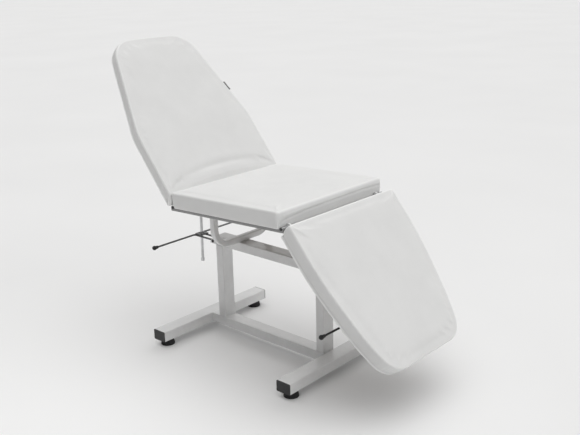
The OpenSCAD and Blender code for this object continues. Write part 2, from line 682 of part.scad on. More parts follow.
// Release levers: two arms on a pin, smooth elbows and a cross handle with a knob at each end
module release_lever() difference() {
  union() both_sides() {
    translate([0, arm_place, 0]) rotate([90, 0, 0])
      cylinder(d = boss_d, h = lever_rod, center = true);
    translate([boss_d / 2 - weld_bite, arm_place, 0]) rotate([0, 90, 0])
      cylinder(d = lever_rod, h = lever_reach - elbow - boss_d / 2 + weld_bite);
    translate([lever_reach - elbow, arm_place + elbow, 0]) rotate([0, 0, -90])
      rotate_extrude(angle = 90) translate([elbow, 0]) circle(d = lever_rod);
    translate([lever_reach, arm_place + elbow, 0]) rotate([-90, 0, 0])
      cylinder(d = lever_rod, h = knob_place - arm_place - elbow);
  }
  rotate([90, 0, 0]) cylinder(d = small_pin_d + 2 * run_clear,
    h = 2 * plate_half + 2 * overrun, center = true);
}
neck_shares = [0.84, 0.45];
module knob_profile() {
  r = knob_d / 2;
  foot = -r - knob_neck;
  difference() {
    intersection() {
      union() {
        circle(r);
        polygon([[0, foot], [lever_rod * 0.75, foot], [r * neck_shares[0], -r * neck_shares[1]],
          [0, 0]]);
      }
      translate([0, 2 * foot]) square([knob_d, -2 * foot + knob_d]);
    }
    translate([-overrun, foot - overrun])
      square([overrun + lever_rod / 2 + fit_clear, overrun - foot + fit_clear]);
  }
}
module lever_knobs() both_sides() translate([lever_reach, knob_place, 0]) rotate([-90, 0, 0])
  rotate_extrude() knob_profile();
module gripping_plate(slot_in, slot_out) difference() {
  from = plate_reach - slot_in - plate_thick;
  long = slot_in + slot_out + 2 * plate_thick;
  translate([from, -plate_half, plate_level - plate_thick / 2])
    cube([long, 2 * plate_half, plate_thick]);
  translate([plate_reach - slot_in, -strut_d / 2 - slot_side, 0])
    cube([slot_in + slot_out, strut_d + 2 * slot_side, 2 * plate_level]);
}
// The bracket of a lever: a back plate, two cheeks round the pin and a stop under the arms
module lever_bracket(out) {
  stop_level = -lever_rod / 2 - stop_gap;
  translate([-out, -rail_wide / 2 + tube_corner, -cheek_radius])
    cube([cheek_thick, rail_wide - 2 * tube_corner, 2 * cheek_radius]);
  difference() {
    both_sides() translate([0, cheek_inner + cheek_thick, 0]) rotate([90, 0, 0])
      linear_extrude(cheek_thick) {
        circle(cheek_radius);
        translate([cheek_thick - out, -cheek_radius]) square([out - cheek_thick, 2 * cheek_radius]);
        translate([0, -cheek_radius])
          square([stop_start + stop_long, stop_level + cheek_radius]);
      }
    rotate([90, 0, 0]) cylinder(d = small_pin_d + 2 * fit_clear, h = rail_wide, center = true);
  }
  translate([stop_start, -cheek_inner, -cheek_radius])
    cube([stop_long, 2 * cheek_inner, stop_level + cheek_radius]);
}
module lever_pin() rotate([90, 0, 0]) {
  half = cheek_inner + cheek_thick;
  cylinder(d = small_pin_d, h = 2 * half, center = true);
  for (end = [-1, 1]) translate([0, 0, end * (half + pin_head_high / 4)])
    cylinder(d = small_pin_d * 1.6, h = pin_head_high / 2, center = true);
}
module at_rear_lever() place() translate([rear_lever_x, 0, rear_lever_z]) mirror([1, 0, 0])
  children();
module at_front_lever() place() translate([front_lever_x, 0, front_lever_height]) children();
module rear_lever_bracket() color(paint) at_rear_lever() lever_bracket(rear_lever_out);
module front_lever_bracket() color(paint) at_front_lever() lever_bracket(front_lever_out);
module rear_lever_pin() color(black) at_rear_lever() lever_pin();
module front_lever_pin() color(black) at_front_lever() lever_pin();
module rear_release_lever() color(steel) at_rear_lever() release_lever();
module front_release_lever() color(black) at_front_lever() release_lever();
module rear_lever_knobs() color(black) at_rear_lever() lever_knobs();
module front_lever_knobs() color(black) at_front_lever() lever_knobs();
module rear_gripping_plate() color(steel) at_rear_lever()
  gripping_plate(rear_slot_in, rear_slot_out);
module front_gripping_plate() color(steel) at_front_lever()
  gripping_plate(front_slot_in, front_slot_out);

rear_foot_tube();
front_foot_tube();
foot_end_caps();
rubber_feet();
rubber_foot_screws();
lower_rail();
rear_post();
front_post();
upper_rail();
upper_rail_cap();
rear_seat_bracket();
front_seat_bracket();
seat_frame();
seat_board();
seat_cushion();
seat_board_screws();
rear_hinge_pins();
front_hinge_pins();
hinge_pin_caps();
rear_lever_bracket();
rear_lever_pin();
front_lever_bracket();
front_lever_pin();
backrest_frame();
backrest_board();
backrest_cushion();
backrest_board_screws();
backrest_strut_pin();
backrest_strut();
backrest_strut_collar();
rear_release_lever();
rear_lever_knobs();
rear_gripping_plate();
legrest_frame();
legrest_board();
legrest_cushion();
legrest_board_screws();
legrest_strut_pin();
legrest_strut();
legrest_strut_collar();
front_release_lever();
front_lever_knobs();
front_gripping_plate();
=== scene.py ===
"""Dresses the podiatry chair: padded cushions, finishes, welds, stage and camera."""

import json
import math

import bmesh
import bpy
import numpy as np
from bpy.props import FloatProperty, FloatVectorProperty, IntProperty, PointerProperty
from mathutils import Matrix, Vector


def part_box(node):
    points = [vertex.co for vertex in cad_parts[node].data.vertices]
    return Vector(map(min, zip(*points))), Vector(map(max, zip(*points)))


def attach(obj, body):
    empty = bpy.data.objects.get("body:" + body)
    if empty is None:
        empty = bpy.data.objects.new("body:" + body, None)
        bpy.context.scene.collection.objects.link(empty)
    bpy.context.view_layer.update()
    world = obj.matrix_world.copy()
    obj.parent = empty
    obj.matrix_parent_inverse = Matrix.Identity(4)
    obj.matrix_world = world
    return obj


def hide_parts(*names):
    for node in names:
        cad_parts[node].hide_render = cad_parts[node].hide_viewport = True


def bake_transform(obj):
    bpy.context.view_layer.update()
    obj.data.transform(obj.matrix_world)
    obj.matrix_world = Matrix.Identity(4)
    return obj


bl_info = {
    "name": "Podiatry Chair",
    "version": (1, 0, 0),
    "blender": (4, 5, 0),
    "location": "3D View > Sidebar > Chair",
    "description": "Cushions, finishes and studio for a podiatry chair",
    "category": "Object",
}

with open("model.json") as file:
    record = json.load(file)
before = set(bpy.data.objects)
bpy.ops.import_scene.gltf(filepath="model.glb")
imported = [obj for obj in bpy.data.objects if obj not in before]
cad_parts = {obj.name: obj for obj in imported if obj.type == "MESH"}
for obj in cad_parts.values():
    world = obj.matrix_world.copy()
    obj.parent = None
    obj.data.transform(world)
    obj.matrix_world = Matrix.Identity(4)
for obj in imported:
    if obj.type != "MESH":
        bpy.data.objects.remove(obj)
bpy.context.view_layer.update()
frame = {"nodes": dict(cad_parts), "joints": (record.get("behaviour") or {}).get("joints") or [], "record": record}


# Places taken from the frame
def joint_place(name):
    """The hinge point of a joint, in the row frame."""
    return Vector(next(j["pos_m"] for j in frame["joints"] if j["name"] == name))


REAR_HINGE = joint_place("backrest_tilt")
FRONT_HINGE = joint_place("legrest_tilt")
SEAT_TILT = math.atan2(FRONT_HINGE.z - REAR_HINGE.z, FRONT_HINGE.x - REAR_HINGE.x)
HINGE_PITCH = (FRONT_HINGE - REAR_HINGE).length
BACK_ANGLE = math.radians(128.6)
LEG_ANGLE = math.radians(-50.6)


def panel_matrix(origin, angle, flip):
    """Local X along the panel, Z out of its padded face."""
    along = Vector((math.cos(angle), 0, math.sin(angle)))
    face = Vector((math.sin(angle), 0, -math.cos(angle))) * (1 if flip else -1)
    across = face.cross(along)
    turn = Matrix((along, across, face)).transposed().to_4x4()
    return Matrix.Translation(origin) @ turn


SEAT_PLACE = panel_matrix(REAR_HINGE, SEAT_TILT, False)
BACK_PLACE = panel_matrix(REAR_HINGE, BACK_ANGLE, True)
LEG_PLACE = panel_matrix(FRONT_HINGE, LEG_ANGLE, False)


class CushionSizes(bpy.types.PropertyGroup):
    """Sizes of the cushions and their covers."""

    voxel: FloatProperty(name="Voxel", description="Size of the remeshed cover's faces",
                         default=0.0055, min=0.004, max=0.02, subtype="DISTANCE")
    swell: FloatProperty(name="Swell", description="Furthest that a cover may swell",
                         default=0.0045, min=0.0, max=0.02, subtype="DISTANCE")
    pressure: FloatProperty(name="Pressure", description="Pressure of the foam under the cover",
                            default=4.0, min=0.0, max=12.0)
    steps: IntProperty(name="Steps", description="Frames that the cover takes to settle",
                       default=20, min=1, max=40)
    edge: FloatProperty(name="Edge", description="Rounding of the cushions' top edges",
                        default=0.0090, min=0.003, max=0.02, subtype="DISTANCE")
    welt: FloatProperty(name="Welt", description="How far the sewn upper edges stand proud",
                        default=0.0006, min=0.0, max=0.01, subtype="DISTANCE")
    crown: FloatProperty(name="Crown", description="Rise of a cushion's middle over its edge",
                         default=0.0035, min=0.0, max=0.01, subtype="DISTANCE")
    roll: FloatProperty(name="Roll", description="Height of the padded roll above the seat",
                        default=0.007, min=0.0, max=0.02, subtype="DISTANCE")
    hem: FloatProperty(name="Hem", description="Width of the cover that is turned under a board",
                       default=0.024, min=0.01, max=0.04, subtype="DISTANCE")


class ChairFinishes(bpy.types.PropertyGroup):
    """Colours of the chair's finishes."""

    vinyl: FloatVectorProperty(name="Cover", description="Colour of the cushions' covers",
                               default=(0.762, 0.762, 0.757), subtype="COLOR", size=3)
    paint: FloatVectorProperty(name="Paint", description="Colour of the painted tubes",
                               default=(0.80, 0.80, 0.80), subtype="COLOR", size=3)
    # Painted shade: a darker copy of the pale paint, given to the seat's frame, which lies in shade under the
    # cushion
    painted_shade_paint: FloatVectorProperty(name="Dark paint", description="Colour of the seat's frame",
                                    default=(0.26, 0.26, 0.26), subtype="COLOR", size=3)
    zinc: FloatVectorProperty(name="Zinc", description="Colour of the plated rods and screws",
                              default=(0.60, 0.605, 0.61), subtype="COLOR", size=3)
    rod: FloatVectorProperty(name="Rod", description="Colour of the levers' bent rods",
                             default=(0.16, 0.16, 0.162), subtype="COLOR", size=3)
    plastic: FloatVectorProperty(name="Plastic", description="Colour of the caps and knobs",
                                 default=(0.012, 0.012, 0.013), subtype="COLOR", size=3)
    steel: FloatVectorProperty(name="Black steel", description="Colour of the black parts",
                               default=(0.015, 0.015, 0.016), subtype="COLOR", size=3)
    rubber: FloatVectorProperty(name="Rubber", description="Colour of the floor feet",
                                default=(0.010, 0.010, 0.011), subtype="COLOR", size=3)
    # The boards' colour is the plywood's own tone made darker: partly real, partly painted shade for the underside
    # of the seat
    plywood: FloatVectorProperty(name="Plywood", description="Colour of the boards",
                                 default=(0.22, 0.185, 0.15), subtype="COLOR", size=3)
    tab: FloatVectorProperty(name="Tab", description="Colour of the sewn-in tab",
                             default=(0.15, 0.15, 0.15), subtype="COLOR", size=3)


class StageSettings(bpy.types.PropertyGroup):
    """Studio floor, light and camera."""

    floor: FloatVectorProperty(name="Floor", description="Colour of the studio floor",
                               default=(0.81, 0.81, 0.81), subtype="COLOR", size=3)
    low_light: FloatProperty(name="Low light", description="Even light from all round",
                             default=0.02, min=0.0, max=3.0)
    overhead: FloatProperty(name="Overhead", description="Strength of the broad light overhead",
                            default=1.93, min=0.0, max=20.0)
    overhead_from: FloatVectorProperty(name="Overhead from", description="Where it is brightest",
                                       default=(0.08, 0.0, 1.0), subtype="DIRECTION", size=3)
    window: FloatProperty(name="Window", description="Strength of the light before the chair",
                          default=0.50, min=0.0, max=20.0)
    window_from: FloatVectorProperty(name="Window from", description="Where it is brightest",
                                     default=(0.72, 0.15, 0.68), subtype="DIRECTION", size=3)
    backdrop: FloatProperty(name="Backdrop", description="Light that the pale backdrop gives",
                            default=0.66, min=0.0, max=20.0)
    narrow: FloatProperty(name="Narrow", description="How closely the overhead light gathers",
                          default=3.5, min=1.0, max=20.0)
    key: FloatProperty(name="Key", description="Power of the large overhead light",
                       default=2.0, min=0.0, max=2000.0, subtype="POWER", unit="POWER")
    lens: FloatProperty(name="Lens", description="Focal length of the camera",
                        default=52.28, min=10.0, max=200.0, subtype="DISTANCE_CAMERA")


# Finishes
def material(name):
    """A new node material with its shader and object coordinates."""
    mat = bpy.data.materials.new(name)
    mat.use_nodes = True
    nodes, links = mat.node_tree.nodes, mat.node_tree.links
    shader = nodes["Principled BSDF"]
    where = nodes.new("ShaderNodeTexCoord")
    return mat, nodes, links, shader, where.outputs["Object"]


def noise(nodes, links, where, scale, detail=3.0, rough=0.5):
    """A cloudy pattern in the object's own coordinates."""
    node = nodes.new("ShaderNodeTexNoise")
    node.inputs["Scale"].default_value = scale
    node.inputs["Detail"].default_value = detail
    node.inputs["Roughness"].default_value = rough
    links.new(where, node.inputs["Vector"])
    return node.outputs["Fac"]


def ramp(nodes, links, value, low, high, start=0.3, end=0.7):
    """Maps a pattern to a colour between low and high."""
    node = nodes.new("ShaderNodeValToRGB")
    node.color_ramp.elements[0].position = start
    node.color_ramp.elements[1].position = end
    node.color_ramp.elements[0].color = (*low, 1)
    node.color_ramp.elements[1].color = (*high, 1)
    links.new(value, node.inputs["Fac"])
    return node.outputs["Color"]


def spread(nodes, links, value, low, high):
    """Maps a pattern to a number between low and high."""
    node = nodes.new("ShaderNodeMapRange")
    node.inputs["To Min"].default_value = low
    node.inputs["To Max"].default_value = high
    links.new(value, node.inputs["Value"])
    return node.outputs["Result"]


def bump(nodes, links, value, strength, distance, before=None):
    """Turns a pattern into relief, on top of an earlier relief if one is given."""
    node = nodes.new("ShaderNodeBump")
    node.inputs["Strength"].default_value = strength
    node.inputs["Distance"].default_value = distance
    links.new(value, node.inputs["Height"])
    if before is not None:
        links.new(before, node.inputs["Normal"])
    return node.outputs["Normal"]


def shade(colour, factor):
    """A colour made darker or lighter, no lighter than white."""
    return tuple(min(1.0, c * factor) for c in colour)


def vinyl_material(colour):
    """White artificial leather: fine pebble grain, soft unevenness and a low sheen."""
    mat, nodes, links, shader, where = material("white_artificial_leather")
    cells = nodes.new("ShaderNodeTexVoronoi")
    cells.inputs["Scale"].default_value = 620.0
    cells.inputs["Randomness"].default_value = 1.0
    links.new(where, cells.inputs["Vector"])
    soft = noise(nodes, links, where, scale=9.0, detail=4.0, rough=0.55)
    fine = noise(nodes, links, where, scale=260.0, detail=4.0, rough=0.6)
    # Painted highlight: the cover's colour is made paler where it bends tight over an edge, standing in for the
    # light that the rounded edges catch
    bend = nodes.new("ShaderNodeNewGeometry").outputs["Pointiness"]
    painted_edge_highlight = nodes.new("ShaderNodeMapRange")
    painted_edge_highlight.inputs["From Min"].default_value = 0.503
    painted_edge_highlight.inputs["From Max"].default_value = 0.530
    painted_edge_highlight.inputs["To Max"].default_value = 0.9
    links.new(bend, painted_edge_highlight.inputs["Value"])
    mixed = nodes.new("ShaderNodeMixRGB")
    mixed.inputs["Color2"].default_value = (*shade(colour, 1.2), 1)
    links.new(painted_edge_highlight.outputs["Result"], mixed.inputs["Fac"])
    links.new(ramp(nodes, links, soft, low=shade(colour, 0.975), high=shade(colour, 1.015)),
              mixed.inputs["Color1"])
    links.new(mixed.outputs["Color"], shader.inputs["Base Color"])
    links.new(spread(nodes, links, fine, low=0.40, high=0.58), shader.inputs["Roughness"])
    slack = bump(nodes, links, soft, strength=0.12, distance=0.004)
    grain = bump(nodes, links, fine, strength=0.10, distance=0.0006, before=slack)
    pebbles = bump(nodes, links, cells.outputs["Distance"], strength=0.16, distance=0.0005,
                   before=grain)
    links.new(pebbles, shader.inputs["Normal"])
    shader.inputs["Specular IOR Level"].default_value = 0.42
    shader.inputs["Sheen Weight"].default_value = 0.12
    shader.inputs["Sheen Roughness"].default_value = 0.4
    return mat


def paint_material(name, colour):
    """Glossy powder coat with a faint orange peel and dulled patches."""
    mat, nodes, links, shader, where = material(name)
    patch = noise(nodes, links, where, scale=14.0, detail=5.0, rough=0.6)
    peel = noise(nodes, links, where, scale=420.0, detail=2.0, rough=0.5)
    links.new(ramp(nodes, links, patch, low=shade(colour, 0.93), high=shade(colour, 1.03)),
              shader.inputs["Base Color"])
    links.new(spread(nodes, links, patch, low=0.15, high=0.30), shader.inputs["Roughness"])
    links.new(bump(nodes, links, peel, strength=0.10, distance=0.0004), shader.inputs["Normal"])
    shader.inputs["Coat Weight"].default_value = 0.6
    shader.inputs["Coat Roughness"].default_value = 0.07
    return mat


def metal_material(name, colour, rough_low, rough_high):
    """Plated steel with faint clouding and fine drawing marks."""
    mat, nodes, links, shader, where = material(name)
    cloud = noise(nodes, links, where, scale=40.0, detail=5.0, rough=0.65)
    marks = noise(nodes, links, where, scale=900.0, detail=2.0, rough=0.7)
    links.new(ramp(nodes, links, cloud, low=shade(colour, 0.82), high=shade(colour, 1.15)),
              shader.inputs["Base Color"])
    links.new(spread(nodes, links, cloud, low=rough_low, high=rough_high),
              shader.inputs["Roughness"])
    links.new(bump(nodes, links, marks, strength=0.12, distance=0.0002), shader.inputs["Normal"])
    shader.inputs["Metallic"].default_value = 0.9
    return mat


def black_material(name, colour, rough_low, rough_high, scale, depth):
    """Black moulding, coating or rubber with a fine texture and scuffed patches."""
    mat, nodes, links, shader, where = material(name)
    scuff = noise(nodes, links, where, scale=30.0, detail=6.0, rough=0.7)
    grain = noise(nodes, links, where, scale=scale, detail=3.0, rough=0.6)
    links.new(ramp(nodes, links, scuff, low=colour, high=shade(colour, 2.6), start=0.45, end=0.85),
              shader.inputs["Base Color"])
    links.new(spread(nodes, links, scuff, low=rough_low, high=rough_high),
              shader.inputs["Roughness"])
    links.new(bump(nodes, links, grain, strength=0.25, distance=depth), shader.inputs["Normal"])
    return mat


def plywood_material(colour):
    """Birch plywood: long grain with darker streaks."""
    mat, nodes, links, shader, where = material("birch_plywood")
    stretch = nodes.new("ShaderNodeMapping")
    stretch.inputs["Scale"].default_value = (4.0, 60.0, 60.0)
    links.new(where, stretch.inputs["Vector"])
    grain = noise(nodes, links, stretch.outputs["Vector"], scale=2.2, detail=6.0, rough=0.62)
    links.new(ramp(nodes, links, grain, low=shade(colour, 0.72), high=shade(colour, 1.25),
                   start=0.35, end=0.65), shader.inputs["Base Color"])
    links.new(spread(nodes, links, grain, low=0.55, high=0.75), shader.inputs["Roughness"])
    links.new(bump(nodes, links, grain, strength=0.2, distance=0.0005), shader.inputs["Normal"])
    return mat


FINISHES = {}


def make_finishes():
    """Builds each finish once, from the panel's colours."""
    c = bpy.context.scene.chair_finishes
    FINISHES.update({
        "vinyl": vinyl_material(tuple(c.vinyl)),
        "paint": paint_material("pale_powder_coat", tuple(c.paint)),
        "painted_shade_paint": paint_material("powder_coat_in_painted_shade", tuple(c.painted_shade_paint)),
        "zinc": metal_material("bright_zinc_plate", tuple(c.zinc), 0.26, 0.42),
        "rod_steel": metal_material("drawn_steel_rod", tuple(c.rod), 0.24, 0.4),
        "black_steel": black_material("black_coated_steel", tuple(c.steel), 0.28, 0.42,
                                      500.0, 0.0003),
        "black_plastic": black_material("black_moulded_plastic", tuple(c.plastic), 0.32, 0.5,
                                        700.0, 0.0003),
        "black_rubber": black_material("black_rubber", tuple(c.rubber), 0.6, 0.8, 380.0, 0.0005),
        "plywood": plywood_material(tuple(c.plywood)),
        "tab": black_material("dark_woven_tab", tuple(c.tab), 0.7, 0.9, 1500.0, 0.0005),
    })


# Meshes
def mesh_object(name, points, faces, finish, smooth=True):
    """A new mesh object in the scene, with one finish."""
    mesh = bpy.data.meshes.new(name)
    mesh.from_pydata([tuple(p) for p in points], [], [tuple(f) for f in faces])
    mesh.validate()
    mesh.update()
    obj = bpy.data.objects.new(name, mesh)
    bpy.context.scene.collection.objects.link(obj)
    mesh.materials.append(FINISHES[finish])
    if smooth:
        mesh.shade_smooth()
    return obj


def corner_arc(before, at, after, radius, steps):
    """Points of a rounded corner, each with its outward normal."""
    before, at, after = (np.array(p[:2], float) for p in (before, at, after))
    a = (before - at) / np.linalg.norm(before - at)
    b = (after - at) / np.linalg.norm(after - at)
    half = math.acos(float(a @ b)) / 2
    middle = at + (a + b) / np.linalg.norm(a + b) * radius / math.sin(half)
    first = at + a * radius / math.tan(half) - middle
    last = at + b * radius / math.tan(half) - middle
    start = math.atan2(first[1], first[0])
    sweep = (math.atan2(last[1], last[0]) - start + math.pi) % (2 * math.pi) - math.pi
    turns = [start + sweep * i / steps for i in range(steps + 1)]
    return [(middle[0] + radius * math.cos(t), middle[1] + radius * math.sin(t),
             math.cos(t), math.sin(t)) for t in turns]


def outline(corners, cuts):
    """Closed outline with rounded corners; straight runs are cut into the given numbers."""
    points = []
    arcs = [corner_arc(corners[i - 1], c, corners[(i + 1) % len(corners)], c[2], c[3])
            for i, c in enumerate(corners)]
    for i, arc in enumerate(arcs):
        points += arc
        a, b = np.array(arc[-1]), np.array(arcs[(i + 1) % len(arcs)][0])
        points += [tuple(a + (b - a) * k / cuts[i]) for k in range(1, cuts[i])]
    return np.array(points)


def ring_shell(name, rings, finish):
    """Closed mesh through a stack of rings of equal length."""
    n = len(rings[0])
    points = [p for ring in rings for p in ring]
    faces = [tuple(range(n))[::-1]]
    for j in range(len(rings) - 1):
        for i in range(n):
            k = (i + 1) % n
            faces.append((j * n + i, j * n + k, (j + 1) * n + k, (j + 1) * n + i))
    faces.append(tuple((len(rings) - 1) * n + i for i in range(n)))
    return mesh_object(name, points, faces, finish)


# A cushion's side: shares of the wall's height, and of the draw that pulls it in there
SIDE_WALL = ((0.2, 0.62), (0.45, 0.2), (0.7, 0.0), (0.9, 0.06))
FOOT_TUCK, FOOT_RISE = 0.0016, 0.0015
EDGE_STEPS = 8
# Rings from a cushion's edge toward its middle, as shares of the way out
CROWN_RINGS = (0.94, 0.85, 0.72, 0.56, 0.38, 0.2, 0.08)


def side_levels(base, top, edge, draw):
    """Heights and insets of a cushion's side: tucked foot, drawn-in wall and rounded edge."""
    tall = top - edge - base
    levels = [(base, draw + FOOT_TUCK), (base + FOOT_RISE, draw)]
    levels += [(base + share * tall, draw * pull) for share, pull in SIDE_WALL]
    for k in range(EDGE_STEPS + 1):
        t = math.radians(90 * k / EDGE_STEPS)
        levels.append((top - edge + edge * math.sin(t), edge * (1 - math.cos(t))))
    return levels


def cushion_rings(make_outline, base, top, edge, draw, crown, middle):
    """Rings of points up a cushion's side and over its crowned face."""
    rings = []
    for level, depth in side_levels(base, top, edge, draw):
        o = make_outline(level)
        rings.append([(p[0] - depth * p[2], p[1] - depth * p[3], level) for p in o])
    last = rings[-1]
    for share in CROWN_RINGS:
        rings.append([(middle + (p[0] - middle) * share, p[1] * share,
                       top + crown * (1 - share ** 2)) for p in last])
    return rings


def evaluated_mesh(obj, name):
    """The object's mesh with its modifiers applied."""
    graph = bpy.context.evaluated_depsgraph_get()
    mesh = bpy.data.meshes.new_from_object(obj.evaluated_get(graph), depsgraph=graph)
    mesh.name = name
    return mesh


def coordinates(mesh):
    """A mesh's points, one row each."""
    co = np.empty(len(mesh.vertices) * 3)
    mesh.vertices.foreach_get("co", co)
    return co.reshape(-1, 3)


def set_coordinates(mesh, co):
    """Moves a mesh's points to the given rows."""
    mesh.vertices.foreach_set("co", np.ascontiguousarray(co, dtype=np.float32).ravel())
    mesh.update()


SINKING_KEPT = 0.15


def settle_cover(obj, held_below):
    """Remeshes a cushion, lets its cover swell as cloth over foam, and subdivides it once."""
    s = bpy.context.scene.cushion_sizes
    scene = bpy.context.scene
    remesh = obj.modifiers.new("remesh", "REMESH")
    remesh.mode = "VOXEL"
    remesh.voxel_size = s.voxel
    remesh.use_smooth_shade = True
    finish = obj.data.materials[0]
    mesh = evaluated_mesh(obj, obj.name)
    obj.modifiers.clear()
    obj.data = mesh
    obj.data.materials.clear()
    obj.data.materials.append(finish)
    start = coordinates(obj.data)
    held = obj.vertex_groups.new(name="held")
    held.add([int(i) for i in np.nonzero(start[:, 2] < held_below)[0]], 1.0, "REPLACE")
    cloth = obj.modifiers.new("cover", "CLOTH")
    cloth.settings.quality = 4
    cloth.settings.mass = 0.25
    cloth.settings.tension_stiffness = 25
    cloth.settings.compression_stiffness = 25
    cloth.settings.shear_stiffness = 12
    cloth.settings.bending_stiffness = 2.0
    cloth.settings.use_pressure = True
    cloth.settings.uniform_pressure_force = s.pressure
    cloth.settings.effector_weights.gravity = 0.0
    cloth.settings.vertex_group_mass = "held"
    cloth.collision_settings.use_collision = False
    cloth.point_cache.frame_start = 1
    cloth.point_cache.frame_end = s.steps
    for frame_number in range(1, s.steps + 1):
        scene.frame_set(frame_number)
    graph = bpy.context.evaluated_depsgraph_get()
    settled = coordinates(obj.evaluated_get(graph).to_mesh())
    obj.evaluated_get(graph).to_mesh_clear()
    move = settled - start
    size = np.linalg.norm(move, axis=1, keepdims=True)
    move *= np.minimum(1.0, s.swell / np.maximum(size, 1e-9))
    sinking = np.sum(move * vertex_normals(obj.data), axis=1) < 0
    move[sinking] *= SINKING_KEPT
    obj.modifiers.clear()
    obj.vertex_groups.clear()
    set_coordinates(obj.data, start + move)
    scene.frame_set(1)
    smooth = obj.modifiers.new("smooth", "SMOOTH")
    smooth.factor = 0.5
    smooth.iterations = 1
    divide = obj.modifiers.new("divide", "SUBSURF")
    divide.levels = divide.render_levels = 1
    mesh = evaluated_mesh(obj, obj.name)
    obj.modifiers.clear()
    obj.data = mesh
    obj.data.shade_smooth()
    return obj


def vertex_normals(mesh):
    """A mesh's outward directions, one row for each point."""
    n = np.empty(len(mesh.vertices) * 3)
    mesh.vertices.foreach_get("normal", n)
    return n.reshape(-1, 3)


def fit_cover(obj, low, high):
    """Brings a settled cover back to its true reach along each of its panel's axes."""
    co = coordinates(obj.data)
    now_low, now_high = co.min(axis=0), co.max(axis=0)
    low, high = np.array(low), np.array(high)
    set_coordinates(obj.data, low + (co - now_low) / (now_high - now_low) * (high - low))


def raise_edge(obj, height):
    """Fills out the upper edge, where the cover's panels are sewn over an inner welt."""
    n = vertex_normals(obj.data)
    up = np.clip(n[:, 2], 0.0, 1.0)
    slope = 2.0 * up * np.sqrt(np.clip(1.0 - up ** 2, 0.0, 1.0))
    set_coordinates(obj.data, coordinates(obj.data) + n * (height * slope ** 1.5)[:, None])


def groove(x, middle, half_width):
    """A soft valley of unit depth round a value."""
    return np.exp(-((x - middle) / half_width) ** 2)


SEAM_HALF_WIDTH = 0.0028


def dress_sides(obj, seam_level, seam_depth, ripples, reach):
    """Draws a seam round the sides and gathers the cover where its outline bends.

    Each ripple has its place along and across, its radius, how many times it waves in a turn
    and its depth; it fades out at the given reach above the seam.
    """
    mesh = obj.data
    co, n = coordinates(mesh), vertex_normals(mesh)
    side = np.clip(1.0 - np.abs(n[:, 2]) * 1.25, 0.0, 1.0)
    move = -seam_depth * side * groove(co[:, 2], seam_level, SEAM_HALF_WIDTH)
    for (x, y, radius, count, depth) in ripples:
        away = np.hypot(co[:, 0] - x, np.abs(co[:, 1]) - y)
        near = np.exp(-(away / radius) ** 2)
        turn = np.arctan2(np.abs(co[:, 1]) - y, co[:, 0] - x)
        low = np.clip(1.0 - (co[:, 2] - seam_level) / reach, 0.0, 1.0)
        move += depth * near * side * low * np.sin(turn * count)
    set_coordinates(mesh, co + n * move[:, None])


def place_panel(obj, matrix):
    """Puts a mesh made in a panel's own frame in its place."""
    obj.data.transform(matrix)
    obj.data.update()
    return obj


# Outlines of the three panels, in metres along and across each panel
SEAT_HALF, SEAT_START, SEAT_END = 0.300, 0.005, HINGE_PITCH - 0.004
BACK_HALF, BACK_TOP_HALF, BACK_KINK, BACK_REACH = 0.3085, 0.197, 0.318, 0.744
BACK_BOW = 0.005
LEG_HALF, LEG_MID_HALF, LEG_END_HALF = 0.302, 0.255, 0.205
LEG_START, LEG_SWEEP, LEG_TIGHT, LEG_REACH = 0.0150, 0.229, 0.488, 0.6195
# Levels of the covers' lower edges and of the cushions' faces
SEAT_FOOT, SEAT_TOP = -0.0030, 0.0668
BACK_FOOT, BACK_FACE = -0.0054, 0.0450
LEG_FOOT, LEG_FACE = -0.0117, 0.0575
# The leg rest's padding reaches forward over its hinge, and its lower edge is set back to clear
# the seat frame's ends when it hangs lowest
LEG_LIP, LEG_SET_BACK = 0.0075, 0.0020
LEG_LEVELS = (0.003, 0.009, 0.018)
# The backrest's lower end follows the seat's rear edge: its start at each height
BACK_LEVELS = (-0.006, 0.000, 0.006, 0.010, 0.020, 0.032, 0.044, 0.052)
BACK_STARTS = (0.0085, 0.0085, 0.0105, 0.0135, 0.0270, 0.0395, 0.0435, 0.047)
CORNER = 0.010
HELD_UNDER_FACE = 0.016


def seat_outline(_level):
    """The seat's rounded rectangle, alike at every level."""
    w = SEAT_HALF
    return outline([(SEAT_START, -w, CORNER, 6), (SEAT_END, -w, CORNER, 6),
                    (SEAT_END, w, CORNER, 6), (SEAT_START, w, CORNER, 6)], (40, 40, 40, 40))


def back_low(level):
    """Where the backrest's lower end lies at a level."""
    return float(np.interp(level, BACK_LEVELS, BACK_STARTS))


def back_outline(level):
    """The backrest's outline: straight flanks, a bend, tapered flanks and a rounded head."""
    w, t, low = BACK_HALF, BACK_TOP_HALF, back_low(level)
    return outline([(low, -w, CORNER, 6), (BACK_KINK, -w, 0.30, 8), (BACK_REACH, -t, 0.115, 14),
                    (BACK_REACH + BACK_BOW, 0, 1.5, 4), (BACK_REACH, t, 0.115, 14),
                    (BACK_KINK, w, 0.30, 8), (low, w, CORNER, 6)], (20, 26, 4, 4, 26, 20, 44))


def leg_outline(level):
    """The leg rest's outline: square at the hinge, swept in toward a rounded end."""
    w, m, t = LEG_HALF, LEG_MID_HALF, LEG_END_HALF
    start = float(np.interp(level, LEG_LEVELS,
                            [LEG_START + LEG_SET_BACK, LEG_START, LEG_START - LEG_LIP]))
    return outline([(start, -w, CORNER, 6), (LEG_SWEEP, -w, 1.2, 10), (LEG_TIGHT, -m, 0.7, 8),
                    (LEG_REACH, -t, 0.097, 12), (LEG_REACH, t, 0.097, 12),
                    (LEG_TIGHT, m, 0.7, 8), (LEG_SWEEP, w, 1.2, 10), (start, w, CORNER, 6)],
                   (8, 8, 2, 20, 2, 8, 8, 44))


# How far the backrest's roll, which rests on the seat, reaches to each side of the middle
ROLL_HALF = 0.304


